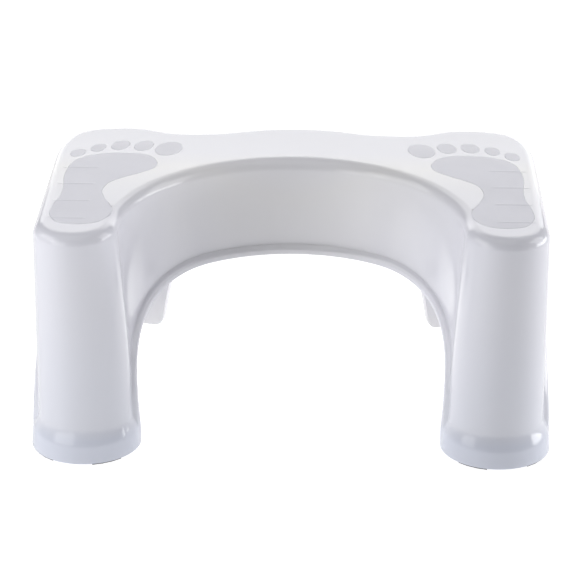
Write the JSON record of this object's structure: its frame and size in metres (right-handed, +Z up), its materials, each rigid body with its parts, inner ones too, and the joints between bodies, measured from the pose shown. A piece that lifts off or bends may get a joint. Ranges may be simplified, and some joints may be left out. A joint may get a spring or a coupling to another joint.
{
  "type": "toilet footstool",
  "caption": "Moulded footstool that bends round a toilet's pedestal, on short legs between arches, with footprint grips on its deck and rubber strips under its feet.",
  "frame": {"origin": "on the floor, under the middle of the stool's own width and depth", "axes": "+Z up, +X across the stool to the user's right as seen from the open side, +Y from the open side of the recess to the back edge"},
  "size_m": [0.4242, 0.2716, 0.1957],
  "materials": {
    "shell_plastic": "glossy white moulded polypropylene",
    "grip_inlay": "pale grey soft-grip inlay, satin, with a fine grain",
    "foot_rubber": "matt black rubber"
  },
  "bodies": {
    "root": {"stool_body": "shell_plastic", "right_sole_pad": "grip_inlay", "left_sole_pad": "grip_inlay", "right_toe_pad_1": "grip_inlay", "left_toe_pad_1": "grip_inlay", "right_toe_pad_2": "grip_inlay", "left_toe_pad_2": "grip_inlay", "right_toe_pad_3": "grip_inlay", "left_toe_pad_3": "grip_inlay", "right_toe_pad_4": "grip_inlay", "left_toe_pad_4": "grip_inlay", "right_toe_pad_5": "grip_inlay", "left_toe_pad_5": "grip_inlay", "front_right_inner_foot_strip": "foot_rubber", "front_left_inner_foot_strip": "foot_rubber", "front_right_outer_foot_strip": "foot_rubber", "front_left_outer_foot_strip": "foot_rubber", "rear_right_foot_strip": "foot_rubber", "rear_left_foot_strip": "foot_rubber"}
  },
  "joints": []
}
